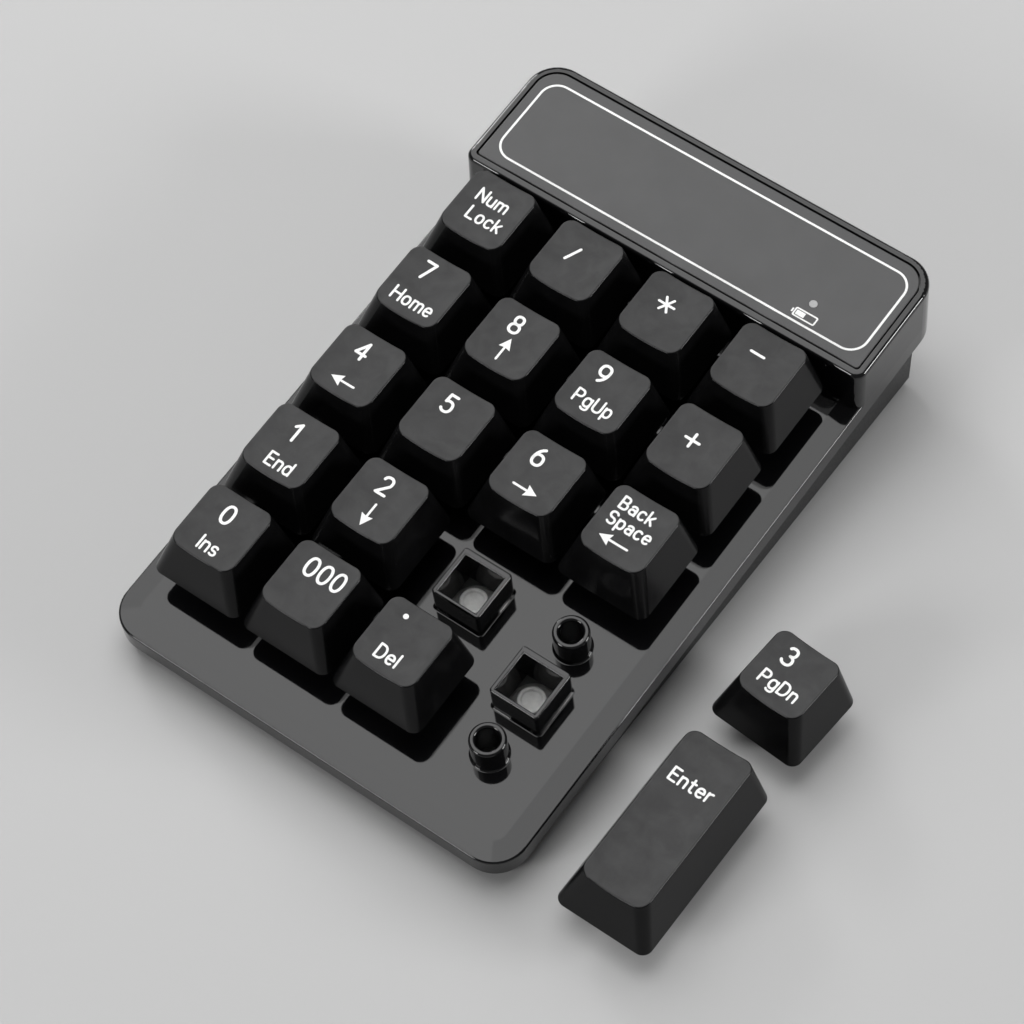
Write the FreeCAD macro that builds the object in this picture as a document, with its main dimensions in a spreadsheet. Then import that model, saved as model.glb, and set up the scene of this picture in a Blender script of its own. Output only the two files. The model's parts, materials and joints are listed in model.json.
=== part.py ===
"""Wireless numeric keypad: parametric model, one named solid or group of solids per physical piece.

Two frames are used. The key frame lies on the sloping key deck: its origin is the middle of the
key grid on the deck's surface, +X runs along the key rows, +Y towards the raised rear housing and
+Z is the direction in which the keys rise. The desk frame is level: it has the same X and heading,
with z = 0 on the desk. The part's own frame is the desk frame moved to the middle of the whole
set's footprint, which counts the two key caps lying beside the keypad.
"""
import FreeCAD, Part
import math
import os
import re
import Sketcher

Vector = FreeCAD.Vector

# Driving dimensions in millimetres and degrees: alias, value, what it is.
SIZES = (
    ("key_pitch", 19.05, "distance between neighbouring key centres"),
    ("travel", 3.2, "how far a key goes down"),
    ("cap_width", 18.35, "key cap skirt along X"),
    ("cap_depth", 17.5, "one-unit key cap skirt along Y"),
    ("cap_corner", 1.9, "corner radius of the skirt"),
    ("cap_offset", -0.05, "skirt centre from the stem axis along Y"),
    ("cap_rise", 8.4, "skirt to the bottom of the dish"),
    ("cap_edge", 9.2, "skirt to the blank's top before the dish is cut"),
    ("cap_wall", 1.2, "key cap wall"),
    ("cap_ceiling", 6.9, "skirt to the inside of the cap's top"),
    ("cap_gap", 5.9, "deck to a key cap's skirt, key up"),
    ("top_width", 12.6, "finger face along X"),
    ("top_depth", 13.2, "one-unit finger face along Y"),
    ("top_corner", 2.2, "corner radius of the finger face"),
    ("top_offset", 1.2, "finger face centre from the stem axis along Y"),
    ("top_round", 0.35, "rounding of the finger face's edge"),
    ("dish_radius", 34.0, "radius of the finger dish"),
    ("stem_width", 7.8, "square stem, outside"),
    ("stem_wall", 0.8, "square stem, wall"),
    ("stem_rib", 0.9, "cross ribs inside the stem"),
    ("stem_drop", 5.8, "stem below the skirt"),
    ("pin_radius", 1.9, "guide pins of the double-height key"),
    ("pin_core", 1.1, "hollow in a guide pin"),
    ("pin_drop", 4.8, "guide pins below the skirt"),
    ("tower_width", 9.9, "guide tower, outside along X"),
    ("tower_depth", 10.1, "guide tower, outside along Y"),
    ("tower_shift", 0.25, "guide tower's outside from the key's axis along Y"),
    ("tower_bore", 8.0, "guide tower, inside"),
    ("tower_height", 6.4, "guide tower above the deck"),
    ("tower_corner", 0.6, "rounding of a guide tower's upright edges"),
    ("tower_root", 0.4, "fillet where a guide tower or post meets the deck"),
    ("tower_lip", 0.35, "rounding of a guide tower's top edges"),
    ("tower_rib", 0.25, "small ledge on a guide tower's side walls, how far it stands out"),
    ("post_radius", 3.25, "round guide post, outside"),
    ("post_bore", 2.1, "round guide post, inside radius"),
    ("post_height", 5.8, "round guide post above the deck"),
    ("post_lip", 0.5, "rounding of a guide post's top edges"),
    ("post_reach", 11.9, "round guide post from the tower's axis along Y"),
    ("tilt", 4.5, "slope of the key deck, degrees"),
    ("deck_rise", 12.2, "desk to the key grid's middle"),
    ("case_shift", 0.9, "case centre from the key grid's centre along X"),
    ("case_width", 85.0, "case along X"),
    ("case_front", 57.2, "key grid centre to the front edge"),
    ("case_back", 74.9, "key grid centre to the rear edge"),
    ("case_corner", 6.5, "corner radius of the case"),
    ("case_wall", 1.6, "upper shell wall"),
    ("skirt_drop", 4.6, "upper shell wall below the deck"),
    ("deck_thickness", 2.0, "key deck"),
    ("border_width", 4.0, "sloping border of the deck"),
    ("border_drop", 0.5, "fall of the sloping border"),
    ("lip_round", 0.4, "rounding of the deck's outer edge"),
    ("bar_front", 48.65, "key grid centre to the rear housing's front edge"),
    ("bar_back", 74.75, "key grid centre to the rear housing's rear top edge"),
    ("bar_draft", 0.15, "lean of the rear housing's walls on each side"),
    ("bar_height", 9.6, "rear housing above the deck"),
    ("bar_corner", 6.1, "radius of the rear housing's two rear corners"),
    ("bar_nose", 2.0, "radius of the rear housing's two front corners"),
    ("bar_step", 0.4, "low step along the foot of the rear housing's front wall"),
    ("bar_round", 0.85, "rounding of the rear housing's top edge"),
    ("rim_width", 1.45, "rim around the inlaid panel"),
    ("panel_gap", 0.3, "groove between rim and panel"),
    ("panel_thickness", 1.55, "inlaid panel"),
    ("panel_seat", 1.65, "depth of the panel's seat"),
    ("ledge_width", 2.4, "ledge under the panel"),
    ("ledge_thickness", 1.1, "thickness of that ledge"),
    ("light_x", 28.0, "status light from the key grid's centre along X"),
    ("light_y", 57.1, "status light from the key grid's centre along Y"),
    ("pipe_radius", 0.75, "status light pipe"),
    ("film_top", 3.7, "deck surface down to the contact films"),
    ("film_thickness", 0.12, "one contact film"),
    ("film_width", 73.6, "contact films along X"),
    ("film_front", 49.6, "key grid centre to the films' front edge"),
    ("film_back", 47.6, "key grid centre to the films' rear edge"),
    ("stiffener", 0.6, "steel sheet under the films"),
    ("stake_radius", 0.8, "moulded pins that locate films and steel sheet"),
    ("dome_flange", 4.6, "rubber dome's foot radius"),
    ("dome_height", 3.75, "rubber dome"),
    ("dome_button", 2.5, "radius of the dome's top"),
    ("board_bottom", 3.0, "deck surface up to the circuit board's underside"),
    ("board_thickness", 1.0, "circuit board"),
    ("base_inset", 1.2, "lower shell set in from the upper one"),
    ("base_wall", 1.5, "lower shell wall"),
    ("base_floor", 1.4, "lower shell floor"),
    ("underside", 1.2, "desk to the lower shell's underside"),
    ("base_back", 68.0, "key grid centre to the lower shell's rear wall"),
    ("foot_radius", 4.0, "rubber foot"),
    ("foot_sink", 0.4, "rubber foot's recess"),
    ("cell_radius", 7.1, "battery cell"),
    ("cell_length", 49.2, "battery cell body"),
    ("cell_left", -32.4, "key grid centre to the cell's flat end along X"),
    ("cell_y", 59.1, "key grid centre to the cell's axis along Y, level"),
    ("cell_z", 10.4, "desk to the cell's axis"),
    ("door_travel", 18.0, "how far the battery door slides"),
    ("dock_x", 28.8, "receiver dock from the key grid's centre along X"),
    ("dock_z", 6.6, "desk to the receiver's centre"),
    ("receiver_width", 12.0, "receiver plug along X"),
    ("receiver_height", 4.5, "receiver plug along Z"),
    ("receiver_length", 18.5, "receiver with its grip"),
    ("switch_x", 14.0, "power switch from the key grid's centre along X"),
    ("switch_y", 34.0, "power switch from the key grid's centre along Y, level"),
    ("switch_travel", 2.4, "how far the power switch slides"),
    ("screw_radius", 1.0, "screw shank"),
    ("screw_head", 1.9, "screw head radius"),
    ("screw_head_height", 1.2, "screw head height"),
    ("loose_x", 62.2, "first loose key cap's stem from the key grid's centre along X"),
    ("loose_y", -2.9, "first loose key cap's stem from the key grid's centre along Y, level"),
    ("loose_turn", -4.0, "first loose key cap's heading, degrees"),
    ("second_x", 61.1, "second loose key cap's stem from the key grid's centre along X"),
    ("second_y", -36.5, "second loose key cap's stem from the key grid's centre along Y, level"),
    ("origin_x", 15.12, "key grid centre to the middle of the set's footprint along X"),
    ("origin_y", 8.9, "key grid centre to the middle of the set's footprint along Y, level"),
)

# Key name, column from the left, row from the rear (0 to 4), height in key units.
SEATED_KEYS = (
    ("num_lock", 0, 0), ("divide", 1, 0), ("multiply", 2, 0), ("minus", 3, 0),
    ("seven", 0, 1), ("eight", 1, 1), ("nine", 2, 1), ("plus", 3, 1),
    ("four", 0, 2), ("five", 1, 2), ("six", 2, 2), ("backspace", 3, 2),
    ("one", 0, 3), ("two", 1, 3),
    ("zero", 0, 4), ("triple_zero", 1, 4), ("decimal", 2, 4),
)
THREE_PLACE = (2, 3)
ENTER_PLACE = (3, 3.5)
TOLERANCE = 0.01

doc = FreeCAD.newDocument("NumericKeypad")
sheet = doc.addObject("Spreadsheet::Sheet", "Sizes")
for row, (alias, number, meaning) in enumerate(SIZES, start=1):
    sheet.set("A%d" % row, meaning)
    sheet.set("B%d" % row, str(number))
    sheet.setAlias("B%d" % row, alias)
doc.recompute()

ALIASES = {alias for alias, _, _ in SIZES}
finished = {}


def sized(text):
    """Expression text with every alias in it pointed at the sheet."""
    def point(match):
        word = match.group()
        return "Sizes." + word if word in ALIASES else word
    return re.sub(r"[a-z_]+", point, str(text))


def number(text):
    """What an expression comes to with the sheet's present values."""
    return float(sheet.evalExpression(sized(text)))


def bind(item, **expressions):
    """Bind an object's properties to the sheet."""
    for name, text in expressions.items():
        item.setExpression(name, sized(text))


def column_x(column):
    return "(%s)*key_pitch" % (column - 1.5)


def row_y(row):
    return "(%s)*key_pitch" % (2 - row)


SEATED_PLACES = [(column, row) for _, column, row in SEATED_KEYS]
TOWER_PLACES = SEATED_PLACES + [THREE_PLACE, ENTER_PLACE]

TILT = number("tilt")
DESK_FRAME = FreeCAD.Placement(Vector(-number("origin_x"), -number("origin_y"), 0), FreeCAD.Rotation())
KEY_FRAME = DESK_FRAME.multiply(
    FreeCAD.Placement(Vector(0, 0, number("deck_rise")), FreeCAD.Rotation(Vector(1, 0, 0), TILT)))


def key_place(column, row, height="0"):
    """Placement of something upright on a key's axis, at a height above the deck."""
    spot = Vector(number(column_x(column)), number(row_y(row)), number(height))
    return KEY_FRAME.multiply(FreeCAD.Placement(spot, FreeCAD.Rotation()))


# ---------------------------------------------------------------- sketches and features

class Piece:
    """One body, with short ways to sketch on its own planes and to add features."""

    def __init__(self, label, placement=KEY_FRAME):
        self.body = doc.addObject("PartDesign::Body", label)
        self.body.Label = label
        self.body.Placement = placement
        self.count = 0
        finished[label] = self.body

    def origin_plane(self, role):
        return next(f for f in self.body.Origin.OriginFeatures if f.Role == role)

    def add(self, kind, word):
        self.count += 1
        return self.body.newObject(kind, "%s_%s_%d" % (self.body.Name, word, self.count))

    def sketch(self, offset="0", role="XY_Plane"):
        sketch = self.add("Sketcher::SketchObject", "sketch")
        sketch.AttachmentSupport = [(self.origin_plane(role), "")]
        sketch.MapMode = "FlatFace"
        sketch.setExpression("AttachmentOffset.Base.z", sized(offset))
        return sketch

    def sloping_sketch(self, height):
        """Sketch parallel to the deck, in key frame coordinates, inside a body in the desk frame."""
        sketch = self.sketch()
        slope = FreeCAD.Rotation(Vector(1, 0, 0), TILT)
        sketch.AttachmentOffset = FreeCAD.Placement(Vector(), slope)
        sketch.setExpression("AttachmentOffset.Base.y", sized("-(%s)*sin(tilt)" % height))
        sketch.setExpression("AttachmentOffset.Base.z", sized("deck_rise + (%s)*cos(tilt)" % height))
        return sketch

    def pad(self, sketch, length, reverse=False, both=False):
        pad = self.add("PartDesign::Pad", "pad")
        pad.Profile = sketch
        pad.Reversed = reverse
        pad.SideType = "Symmetric" if both else "One side"
        bind(pad, Length=length)
        return pad

    def pocket(self, sketch, length=None, reverse=False, both=False):
        """Cut along the sketch's back side, or its front side with reverse; all through with no length."""
        pocket = self.add("PartDesign::Pocket", "pocket")
        pocket.Profile = sketch
        pocket.Reversed = reverse
        pocket.SideType = "Symmetric" if both else "One side"
        if length is None:
            pocket.Type = "ThroughAll"
        else:
            bind(pocket, Length=length)
        return pocket

    def loft(self, first, last, cut=False):
        kind = "PartDesign::SubtractiveLoft" if cut else "PartDesign::AdditiveLoft"
        loft = self.add(kind, "loft")
        loft.Profile = first
        loft.Sections = [last]
        loft.Ruled = True
        return loft

    def revolve(self, sketch):
        revolution = self.add("PartDesign::Revolution", "revolution")
        revolution.Profile = sketch
        revolution.ReferenceAxis = (sketch, ["V_Axis"])
        revolution.Angle = 360
        return revolution

    def fillet(self, radius, wanted):
        """Round the edges for which wanted(bounding box) is true."""
        doc.recompute()
        tip = self.body.Tip
        names = ["Edge%d" % (i + 1) for i, e in enumerate(tip.Shape.Edges) if wanted(e.BoundBox)]
        fillet = self.add("PartDesign::Fillet", "fillet")
        fillet.Base = (tip, names)
        bind(fillet, Radius=radius)
        return fillet


def constrain(sketch, expression, kind, *where):
    """A driving dimension bound to the sheet."""
    index = sketch.addConstraint(Sketcher.Constraint(kind, *where, number(expression)))
    sketch.setExpression("Constraints[%d]" % index, sized(expression))


def pin_point(sketch, line, end, x, y):
    """Fix a point's coordinates, on an axis where one of them is nought."""
    for kind, axis, text in (("DistanceX", -2, x), ("DistanceY", -1, y)):
        if text == "0":
            sketch.addConstraint(Sketcher.Constraint("PointOnObject", line, end, axis))
        else:
            constrain(sketch, text, kind, -1, 1, line, end)


def polygon(sketch, points):
    """Closed outline through points, each an (x, y) pair of expressions."""
    spots = [Vector(number(x), number(y), 0) for x, y in points]
    first = sketch.GeometryCount
    count = len(points)
    for i in range(count):
        sketch.addGeometry(Part.LineSegment(spots[i], spots[(i + 1) % count]), False)
    for i in range(count):
        sketch.addConstraint(Sketcher.Constraint("Coincident", first + i, 2, first + (i + 1) % count, 1))
    for i, (x, y) in enumerate(points):
        pin_point(sketch, first + i, 1, x, y)


def rectangle(sketch, left, front, right, back):
    """Upright rectangle between four expressions."""
    a, b, c, d = (number(text) for text in (left, front, right, back))
    first = sketch.GeometryCount
    corners = [Vector(a, b, 0), Vector(c, b, 0), Vector(c, d, 0), Vector(a, d, 0)]
    for i in range(4):
        sketch.addGeometry(Part.LineSegment(corners[i], corners[(i + 1) % 4]), False)
    for i in range(4):
        sketch.addConstraint(Sketcher.Constraint("Coincident", first + i, 2, first + (i + 1) % 4, 1))
        kind = "Vertical" if i % 2 else "Horizontal"
        sketch.addConstraint(Sketcher.Constraint(kind, first + i))
    constrain(sketch, left, "DistanceX", -1, 1, first, 1)
    constrain(sketch, front, "DistanceY", -1, 1, first, 1)
    constrain(sketch, right, "DistanceX", -1, 1, first + 2, 1)
    constrain(sketch, back, "DistanceY", -1, 1, first + 2, 1)


def square(sketch, width, x="0", y="0"):
    rectangle(sketch, "%s - %s/2" % (x, width), "%s - %s/2" % (y, width),
              "%s + %s/2" % (x, width), "%s + %s/2" % (y, width))


def circle(sketch, radius, x="0", y="0"):
    ring = Part.Circle(Vector(number(x), number(y), 0), Vector(0, 0, 1), number(radius))
    index = sketch.addGeometry(ring, False)
    constrain(sketch, radius, "Radius", index)
    if x == "0" and y == "0":
        sketch.addConstraint(Sketcher.Constraint("Coincident", index, 3, -1, 1))
    else:
        pin_point(sketch, index, 3, x, y)


def rounded(sketch, left, front, right, back, radius, front_radius=None):
    """Rectangle with rounded corners; the front two may have a radius of their own."""
    a, b, c, d, r = (number(text) for text in (left, front, right, back, radius))
    f = number(front_radius or radius)
    first = sketch.GeometryCount
    sides = (((a + f, b), (c - f, b)), ((c, b + f), (c, d - r)),
             ((c - r, d), (a + r, d)), ((a, d - r), (a, b + f)))
    for start, end in sides:
        sketch.addGeometry(Part.LineSegment(Vector(*start, 0), Vector(*end, 0)), False)
    corners = ((c - f, b + f, f), (c - r, d - r, r), (a + r, d - r, r), (a + f, b + f, f))
    for i, (x, y, size) in enumerate(corners):
        whole = Part.Circle(Vector(x, y, 0), Vector(0, 0, 1), size)
        start = math.radians(270 + 90 * i)
        sketch.addGeometry(Part.ArcOfCircle(whole, start, start + math.pi / 2), False)
    for i in range(4):
        sketch.addConstraint(Sketcher.Constraint("Tangent", first + i, 2, first + 4 + i, 1))
        sketch.addConstraint(Sketcher.Constraint("Tangent", first + 4 + i, 2, first + (i + 1) % 4, 1))
        kind = "Vertical" if i % 2 else "Horizontal"
        sketch.addConstraint(Sketcher.Constraint(kind, first + i))
    sketch.addConstraint(Sketcher.Constraint("Equal", first + 4, first + 7))
    sketch.addConstraint(Sketcher.Constraint("Equal", first + 5, first + 6))
    constrain(sketch, radius, "Radius", first + 5)
    constrain(sketch, front_radius or radius, "Radius", first + 4)
    constrain(sketch, left, "DistanceX", -1, 1, first + 3, 1)
    constrain(sketch, front, "DistanceY", -1, 1, first, 1)
    constrain(sketch, right, "DistanceX", -1, 1, first + 1, 1)
    constrain(sketch, back, "DistanceY", -1, 1, first + 2, 1)


# ---------------------------------------------------------------- key caps and domes

def cap_blank(cap, bottom, top, extra, inset, radius_bottom, radius_top, cut=False):
    """Four-sided tapering block between the skirt's plane and a higher one, set in all round."""
    skirt = cap.sketch(bottom)
    rounded(skirt, "-(cap_width/2 - %s)" % inset, "cap_offset - (cap_depth + %s)/2 + %s" % (extra, inset),
            "cap_width/2 - %s" % inset, "cap_offset + (cap_depth + %s)/2 - %s" % (extra, inset), radius_bottom)
    face = cap.sketch(top)
    rounded(face, "-(top_width/2 - %s)" % inset, "top_offset - (top_depth + %s)/2 + %s" % (extra, inset),
            "top_width/2 - %s" % inset, "top_offset + (top_depth + %s)/2 - %s" % (extra, inset), radius_top)
    return cap.loft(skirt, face, cut)


def key_cap(label, placement, units=1):
    """Hollow cap with a dished top and a square stem; a double-height one also has two guide pins."""
    extra = "0" if units == 1 else "key_pitch"
    cap = Piece(label, placement)
    cap_blank(cap, "0", "cap_edge", extra, "0", "cap_corner", "top_corner")
    dish = cap.sketch(role="XZ_Plane")
    circle(dish, "dish_radius", "0", "cap_rise + dish_radius")
    cap.pocket(dish, both=True)
    cap.fillet("top_round", lambda box: box.ZMin > number("cap_rise") - TOLERANCE)
    cap_blank(cap, "0", "cap_ceiling", extra, "cap_wall", "cap_corner - cap_wall", "cap_wall", cut=True)
    stem = cap.sketch("-stem_drop")
    square(stem, "stem_width")
    pane = "(stem_width - 2*stem_wall - stem_rib)/2"
    reach = "(stem_rib + %s)/2" % pane
    for x_sign in ("", "-"):
        for y_sign in ("", "-"):
            square(stem, pane, x_sign + reach, y_sign + reach)
    cap.pad(stem, "stem_drop + cap_ceiling + 0.1")
    if units == 2:
        pins = cap.sketch("-pin_drop")
        for y in ("post_reach", "-post_reach"):
            circle(pins, "pin_radius", "0", y)
            circle(pins, "pin_core", "0", y)
        cap.pad(pins, "pin_drop + cap_ceiling + 0.1")
    return cap


def rubber_dome(label, column, row):
    """Thin rubber cone with a flat foot, a ringed top and an inner contact nub."""
    dome = Piece(label, key_place(column, row, "-film_top"))
    profile = dome.sketch(role="XZ_Plane")
    polygon(profile, (
        ("0", "1.2"), ("0.9", "1.2"), ("1.3", "dome_height - 0.9"), ("dome_button - 0.25", "dome_height - 1.1"),
        ("3.4", "0.02"), ("dome_flange", "0.02"), ("dome_flange", "0.42"), ("3.95", "0.5"),
        ("dome_button + 0.1", "dome_height - 0.75"), ("dome_button", "dome_height"),
        ("dome_button - 0.6", "dome_height"), ("dome_button - 0.8", "dome_height - 0.3"), ("0", "dome_height - 0.3")))
    dome.revolve(profile)


def key_caps_and_domes():
    for name, column, row in SEATED_KEYS:
        key_cap("key_" + name, key_place(column, row, "cap_gap"))
        rubber_dome("dome_" + name, column, row)
    rubber_dome("dome_three", *THREE_PLACE)
    rubber_dome("dome_enter", *ENTER_PLACE)
    loose = Vector(number("loose_x"), number("loose_y"), number("stem_drop"))
    turn = FreeCAD.Rotation(Vector(0, 0, 1), number("loose_turn"))
    key_cap("key_three", DESK_FRAME.multiply(FreeCAD.Placement(loose, turn)))
    second = Vector(number("second_x"), number("second_y"), number("stem_drop"))
    key_cap("key_enter", DESK_FRAME.multiply(FreeCAD.Placement(second, FreeCAD.Rotation())), units=2)


# ---------------------------------------------------------------- upper shell

def case_outline(sketch, inset="0", radius="case_corner"):
    """Outline of the whole case, set in all round."""
    rounded(sketch, "case_shift - case_width/2 + %s" % inset, "-case_front + %s" % inset,
            "case_shift + case_width/2 - (%s)" % inset, "case_back - (%s)" % inset, radius)


def bar_foot(sketch):
    """Outline of the rear housing where it stands on the case."""
    rounded(sketch, "case_shift - case_width/2", "bar_front - 0.6", "case_shift + case_width/2", "case_back",
            "case_corner", "bar_nose")


def bar_outline(sketch, inset="0", radius="bar_corner", front_radius="bar_nose"):
    """Outline of the rear housing's top face, set in all round."""
    rounded(sketch, "case_shift - case_width/2 + bar_draft + %s" % inset, "bar_front + %s" % inset,
            "case_shift + case_width/2 - bar_draft - (%s)" % inset, "bar_back - (%s)" % inset, radius, front_radius)


FRONT_BOSSES = (("case_shift - 33.5", "-52.7"), ("case_shift + 33.5", "-52.7"))
REAR_BOSSES = (("case_shift - 37", "70.4"), ("case_shift + 37", "70.4"))
STAKES = (("-key_pitch", "1.5*key_pitch"), ("key_pitch", "1.5*key_pitch"), ("-key_pitch", "-0.5*key_pitch"),
          ("key_pitch", "-0.5*key_pitch"), ("-key_pitch", "-1.5*key_pitch"), ("0", "-1.5*key_pitch"))


def upper_shell():
    shell = Piece("top_case")
    walls = shell.sketch("-skirt_drop")
    case_outline(walls)
    shell.pad(walls, "skirt_drop - border_drop")
    edge = shell.sketch("-border_drop")
    case_outline(edge)
    field = shell.sketch("0")
    case_outline(field, "border_width", "case_corner - border_width")
    shell.loft(edge, field)
    lip_height = -number("border_drop")
    shell.fillet("lip_round", lambda box: level(box, lip_height))
    plinth = shell.sketch("-border_drop - 2*lip_round")
    bar_foot(plinth)
    shell.pad(plinth, "2*lip_round")
    foot = shell.sketch("-border_drop")
    bar_foot(foot)
    crown = shell.sketch("bar_height")
    bar_outline(crown)
    shell.loft(foot, crown)
    crown_height = number("bar_height")
    shell.fillet("bar_round", lambda box: box.ZMin > crown_height - TOLERANCE)

    hollow = shell.sketch("-skirt_drop")
    case_outline(hollow, "case_wall", "case_corner - case_wall")
    shell.pocket(hollow, "skirt_drop - deck_thickness", reverse=True)
    room = shell.sketch("-deck_thickness")
    rounded(room, "case_shift - case_width/2 + 2.2", "bar_front + 1.5", "case_shift + case_width/2 - 2.2",
            "bar_back - 1.9", "4.2")
    shell.pocket(room, "deck_thickness + bar_height - panel_seat - ledge_thickness", reverse=True)
    opening = shell.sketch("0")
    bar_outline(opening, "rim_width + ledge_width", "2.2", "2.2")
    shell.pocket(opening, "bar_height", reverse=True)
    seat = shell.sketch("bar_height")
    bar_outline(seat, "rim_width", "bar_corner - rim_width", "bar_nose - rim_width + 0.1")
    shell.pocket(seat, "panel_seat")
    step = shell.sketch("-deck_thickness + 0.2")
    rectangle(step, "case_shift - case_width/2 + border_width", "bar_front - 0.6 - bar_step",
              "case_shift + case_width/2 - border_width", "bar_front + 0.4")
    shell.pad(step, "deck_thickness - 0.2 + bar_step")

    guide_towers(shell)
    guide_posts(shell)

    bosses = shell.sketch("-deck_thickness - 2.3")
    for x, y in FRONT_BOSSES:
        circle(bosses, "2.5", x, y)
    shell.pad(bosses, "2.5")
    tall = shell.sketch("-deck_thickness - 2.3")
    for x, y in REAR_BOSSES:
        circle(tall, "2.5", x, y)
    shell.pad(tall, "deck_thickness + 2.3 + bar_height - panel_seat - 0.5")
    for places, depth in ((FRONT_BOSSES, "3.4"), (REAR_BOSSES, "5.2")):
        cores = shell.sketch("-deck_thickness - 2.3")
        for x, y in places:
            circle(cores, "screw_radius", x, y)
        shell.pocket(cores, depth, reverse=True)
    stakes = shell.sketch("-film_top - 3*film_thickness - stiffener - 0.3")
    for x, y in STAKES:
        circle(stakes, "stake_radius", x, y)
    shell.pad(stakes, "film_top + 3*film_thickness + stiffener + 0.3 - deck_thickness + 0.1")


def in_key_field(box):
    """True for an edge among the keys, away from the case's own edges."""
    return max(abs(box.XMin), abs(box.XMax)) < 2 * number("key_pitch") - 3.5 and box.YMax < number("bar_front") - 1


def level(box, height):
    return abs(box.ZMin - height) < TOLERANCE and abs(box.ZMax - height) < TOLERANCE


def guide_towers(shell):
    """Square towers that guide the stems, with rounded edges and a fillet at the foot."""
    left, right = "%s - tower_width/2", "%s + tower_width/2"
    front, back = "%s + tower_shift - tower_depth/2", "%s + tower_shift + tower_depth/2"
    towers = shell.sketch("-deck_thickness")
    for column, row in TOWER_PLACES:
        x, y = column_x(column), row_y(row)
        rectangle(towers, left % x, front % y, right % x, back % y)
    shell.pad(towers, "deck_thickness + tower_height")
    top = number("tower_height")
    shell.fillet("tower_corner", lambda box: abs(box.ZMin) < TOLERANCE and abs(box.ZMax - top) < TOLERANCE)
    shell.fillet("tower_root", lambda box: in_key_field(box) and level(box, 0))
    bores = shell.sketch("tower_height")
    for column, row in TOWER_PLACES:
        square(bores, "tower_bore", column_x(column), row_y(row))
    shell.pocket(bores, "tower_height + deck_thickness + 1")
    shell.fillet("tower_lip", lambda box: in_key_field(box) and level(box, top))
    ledges = shell.sketch("tower_height/4")
    for column, row in TOWER_PLACES:
        for side in ("+", "-"):
            wall = "%s %s tower_width/2" % (column_x(column), side)
            rectangle(ledges, wall + " - tower_rib", row_y(row) + " - 1.8", wall + " + tower_rib", row_y(row) + " + 1.8")
    shell.pad(ledges, "0.35")


def guide_posts(shell):
    """Two round posts in front of and behind the double-height key's tower."""
    enter_x, enter_y = column_x(ENTER_PLACE[0]), row_y(ENTER_PLACE[1])
    posts = shell.sketch("-deck_thickness")
    guides = shell.sketch("post_height")
    for side in ("+", "-"):
        spot = "%s %s post_reach" % (enter_y, side)
        circle(posts, "post_radius", enter_x, spot)
        circle(guides, "post_bore", enter_x, spot)
    shell.pad(posts, "deck_thickness + post_height")
    girth = 2 * number("post_radius")
    shell.fillet("tower_root", lambda box: in_key_field(box) and level(box, 0) and abs(box.XLength - girth) < 0.1)
    shell.pocket(guides, "post_height + deck_thickness + 1")
    top = number("post_height")
    shell.fillet("post_lip", lambda box: in_key_field(box) and level(box, top))


def inlaid_panel():
    panel = Piece("bar_panel")
    outline = panel.sketch("bar_height - panel_seat + 0.05")
    bar_outline(outline, "rim_width + panel_gap", "bar_corner - rim_width - panel_gap", "bar_nose - rim_width")
    circle(outline, "pipe_radius + 0.05", "light_x", "light_y")
    panel.pad(outline, "panel_thickness")
    top = number("bar_height - panel_seat + 0.05 + panel_thickness")
    panel.fillet("0.2", lambda box: box.ZMin > top - TOLERANCE and (box.XLength > 2 or box.YLength > 2))


def status_light():
    pipe = Piece("status_light_pipe")
    collar_height = "bar_height - panel_seat - 0.55"
    rod = pipe.sketch("board_bottom + board_thickness + 1.2")
    circle(rod, "pipe_radius", "light_x", "light_y")
    pipe.pad(rod, "bar_height - board_bottom - board_thickness - 1.2 - 0.02")
    collar = pipe.sketch(collar_height)
    circle(collar, "pipe_radius + 0.8", "light_x", "light_y")
    pipe.pad(collar, "0.55")
    light = Piece("status_led")
    base = light.sketch("board_bottom + board_thickness")
    rectangle(base, "light_x - 0.8", "light_y - 0.4", "light_x + 0.8", "light_y + 0.4")
    light.pad(base, "0.35")
    lens = light.sketch("board_bottom + board_thickness")
    rectangle(lens, "light_x - 0.5", "light_y - 0.35", "light_x + 0.5", "light_y + 0.35")
    light.pad(lens, "0.7")


# ---------------------------------------------------------------- contact films, steel sheet, electronics

def film_outline(sketch):
    rounded(sketch, "case_shift - film_width/2", "-film_front", "case_shift + film_width/2", "film_back", "2")


def flat_layer(label, bottom, thickness, hole_radius):
    """Sheet under the whole key field, with holes where the moulded pins pass."""
    layer = Piece(label)
    outline = layer.sketch(bottom)
    film_outline(outline)
    for x, y in STAKES:
        circle(outline, hole_radius, x, y)
    layer.pad(outline, thickness)
    return layer


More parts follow.
